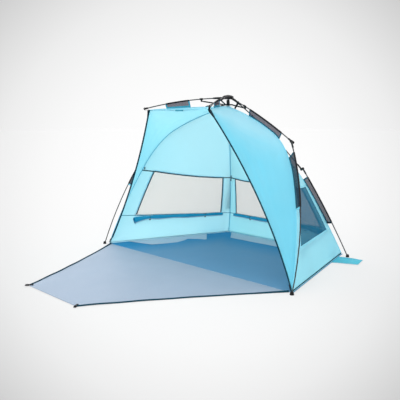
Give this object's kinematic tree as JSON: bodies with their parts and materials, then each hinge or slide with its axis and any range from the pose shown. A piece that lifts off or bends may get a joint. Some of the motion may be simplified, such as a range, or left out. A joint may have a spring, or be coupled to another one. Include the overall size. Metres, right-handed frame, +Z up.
{
  "type": "beach tent",
  "caption": "Pop-up beach shelter on a folding umbrella-hub pole frame, with a wide doorway, mesh windows with rolled covers, a groundsheet and a door panel laid flat.",
  "frame": {"origin": "on the ground straight below the hub", "axes": "+X to the right seen from behind, -Y out of the doorway, +Z up; X = 0 is the plane of symmetry"},
  "size_m": [2.508, 2.7553, 1.536],
  "materials": {
    "pole": "dark grey fibreglass, satin",
    "plastic": "black moulded nylon",
    "steel": "dark painted flat steel",
    "canopy": "coated polyester in sky blue",
    "wall": "coated polyester in sky blue",
    "floor": "coated groundsheet in blue",
    "door": "coated groundsheet in grey-blue",
    "roll": "rolled polyester in deep blue",
    "window": "fine pale mesh",
    "strip": "coarse dark mesh",
    "webbing": "woven grey webbing",
    "rubber": "black rubber"
  },
  "bodies": {
    "canopy_and_hub": {"upper_hub": "plastic", "roof_gore": "canopy", "front_panel_left": "canopy", "front_panel_right": "canopy", "side_wall_left": "wall", "side_wall_right": "wall", "back_wall": "wall", "floor": "floor", "window_mesh_side_left": "window", "window_mesh_side_right": "window", "window_mesh_back": "window", "window_roll_side_left": "roll", "window_roll_side_right": "roll", "window_roll_back": "roll", "strip_front_arm_left": "strip", "strip_front_arm_right": "strip", "strip_side_arm_left": "strip", "strip_side_arm_right": "strip", "strip_side_leg_left": "strip", "strip_side_leg_right": "strip", "strip_rear_leg_left": "strip", "strip_rear_leg_right": "strip", "apex_patch": "canopy", "apex_strap": "webbing", "zip_slider_left": "steel", "zip_slider_right": "steel"},
    "arm_front_left": {"arm_front_left": "pole", "bracket_front_left": "plastic", "end_cap_left": "plastic"},
    "strut_front_left": {"strut_front_left": "steel"},
    "arm_side_left": {"arm_side_left": "pole", "bracket_side_left": "plastic", "elbow_side_left": "plastic"},
    "strut_side_left": {"strut_side_left": "steel"},
    "leg_side_left": {"leg_side_left": "pole", "foot_side_left": "rubber"},
    "arm_rear_left": {"arm_rear_left": "pole", "elbow_rear_left": "plastic"},
    "leg_rear_left": {"leg_rear_left": "pole", "foot_rear_left": "rubber"},
    "arm_front_right": {"arm_front_right": "pole", "bracket_front_right": "plastic", "end_cap_right": "plastic"},
    "strut_front_right": {"strut_front_right": "steel"},
    "arm_side_right": {"arm_side_right": "pole", "bracket_side_right": "plastic", "elbow_side_right": "plastic"},
    "strut_side_right": {"strut_side_right": "steel"},
    "leg_side_right": {"leg_side_right": "pole", "foot_side_right": "rubber"},
    "arm_rear_right": {"arm_rear_right": "pole", "elbow_rear_right": "plastic"},
    "leg_rear_right": {"leg_rear_right": "pole", "foot_rear_right": "rubber"},
    "runner": {"runner": "plastic"},
    "door": {"door_panel": "door"}
  },
  "joints": [
    {"name": "frame_fold", "type": "hinge", "parent": "canopy_and_hub", "child": "arm_front_left", "pos_m": [-0.02261, -0.03539, 1.512], "axis": [0.8427, -0.5384, 0], "range_deg": [0, 82.1], "deforming": ["roof_gore", "front_panel_left", "front_panel_right", "side_wall_left", "side_wall_right", "back_wall", "floor", "window_mesh_side_left", "window_mesh_side_right", "window_mesh_back", "window_roll_side_left", "window_roll_side_right", "window_roll_back", "strip_front_arm_left", "strip_front_arm_right", "strip_side_arm_left", "strip_side_arm_right", "strip_side_leg_left", "strip_side_leg_right", "strip_rear_leg_left", "strip_rear_leg_right", "apex_patch", "apex_strap", "zip_slider_left", "zip_slider_right"]},
    {"name": "front_strut_turn_left", "type": "hinge", "parent": "arm_front_left", "child": "strut_front_left", "pos_m": [-0.12702, -0.22107, 1.48048], "axis": [0.8427, -0.5384, 0], "range_deg": [-164.25, 0]},
    {"name": "side_arm_fold_left", "type": "hinge", "parent": "canopy_and_hub", "child": "arm_side_left", "pos_m": [-0.04147, -0.00663, 1.512], "axis": [0.1578, -0.9875, 0], "range_deg": [0, 65.43]},
    {"name": "side_strut_turn_left", "type": "hinge", "parent": "arm_side_left", "child": "strut_side_left", "pos_m": [-0.24395, -0.02076, 1.41354], "axis": [0.1578, -0.9875, 0], "range_deg": [-166.85, 0]},
    {"name": "side_elbow_turn_left", "type": "hinge", "parent": "arm_side_left", "child": "leg_side_left", "pos_m": [-0.876, -0.14, 1.125], "axis": [-0.0268, -0.9259, 0.3769], "range_deg": [-207.23, 0]},
    {"name": "rear_arm_fold_left", "type": "hinge", "parent": "canopy_and_hub", "child": "arm_rear_left", "pos_m": [-0.02634, 0.03272, 1.512], "axis": [-0.779, -0.6271, 0], "range_deg": [0, 45.13]},
    {"name": "rear_elbow_turn_left", "type": "hinge", "parent": "arm_rear_left", "child": "leg_rear_left", "pos_m": [-0.454, 0.564, 0.832], "axis": [-0.8924, -0.2018, 0.4036], "range_deg": [-187.86, 0]},
    {"name": "front_arm_fold_right", "type": "hinge", "parent": "canopy_and_hub", "child": "arm_front_right", "pos_m": [0.02261, -0.03539, 1.512], "axis": [0.8427, 0.5384, 0], "range_deg": [0, 82.15]},
    {"name": "front_strut_turn_right", "type": "hinge", "parent": "arm_front_right", "child": "strut_front_right", "pos_m": [0.12702, -0.22107, 1.48048], "axis": [0.8427, 0.5384, 0], "range_deg": [-164.25, 0]},
    {"name": "side_arm_fold_right", "type": "hinge", "parent": "canopy_and_hub", "child": "arm_side_right", "pos_m": [0.04147, -0.00663, 1.512], "axis": [0.1578, 0.9875, 0], "range_deg": [0, 65.43]},
    {"name": "side_strut_turn_right", "type": "hinge", "parent": "arm_side_right", "child": "strut_side_right", "pos_m": [0.24395, -0.02076, 1.41354], "axis": [0.1578, 0.9875, 0], "range_deg": [-166.85, 0]},
    {"name": "side_elbow_turn_right", "type": "hinge", "parent": "arm_side_right", "child": "leg_side_right", "pos_m": [0.876, -0.14, 1.125], "axis": [-0.0268, 0.9259, -0.3769], "range_deg": [-207.23, 0]},
    {"name": "rear_arm_fold_right", "type": "hinge", "parent": "canopy_and_hub", "child": "arm_rear_right", "pos_m": [0.02634, 0.03272, 1.512], "axis": [-0.779, 0.6271, 0], "range_deg": [0, 45.13]},
    {"name": "rear_elbow_turn_right", "type": "hinge", "parent": "arm_rear_right", "child": "leg_rear_right", "pos_m": [0.454, 0.564, 0.832], "axis": [-0.8924, 0.2018, -0.4036], "range_deg": [-187.86, 0]},
    {"name": "runner_level", "type": "hinge", "parent": "strut_front_left", "child": "runner", "pos_m": [-0.0125, -0.04185, 1.44896], "axis": [0.8427, -0.5384, 0], "range_deg": [0, 82.15]},
    {"name": "door_turn", "type": "hinge", "parent": "canopy_and_hub", "child": "door", "pos_m": [0, -0.5453, 0.002], "axis": [-1, 0, 0], "range_deg": [0, 85]}
  ],
  "couplings": [
    {"joint": "front_strut_turn_left", "follows": "frame_fold", "ratio": -2},
    {"joint": "side_arm_fold_left", "follows": "frame_fold", "ratio": 0.7964},
    {"joint": "side_strut_turn_left", "follows": "frame_fold", "ratio": -2.0317},
    {"joint": "side_elbow_turn_left", "follows": "frame_fold", "ratio": -2.5236},
    {"joint": "rear_arm_fold_left", "follows": "frame_fold", "ratio": 0.54906},
    {"joint": "rear_elbow_turn_left", "follows": "frame_fold", "ratio": -2.2876},
    {"joint": "front_arm_fold_right", "follows": "frame_fold", "ratio": 1},
    {"joint": "front_strut_turn_right", "follows": "frame_fold", "ratio": -2},
    {"joint": "side_arm_fold_right", "follows": "frame_fold", "ratio": 0.7964},
    {"joint": "side_strut_turn_right", "follows": "frame_fold", "ratio": -2.0317},
    {"joint": "side_elbow_turn_right", "follows": "frame_fold", "ratio": -2.5236},
    {"joint": "rear_arm_fold_right", "follows": "frame_fold", "ratio": 0.54906},
    {"joint": "rear_elbow_turn_right", "follows": "frame_fold", "ratio": -2.2876},
    {"joint": "runner_level", "follows": "frame_fold", "ratio": 1}
  ]
}
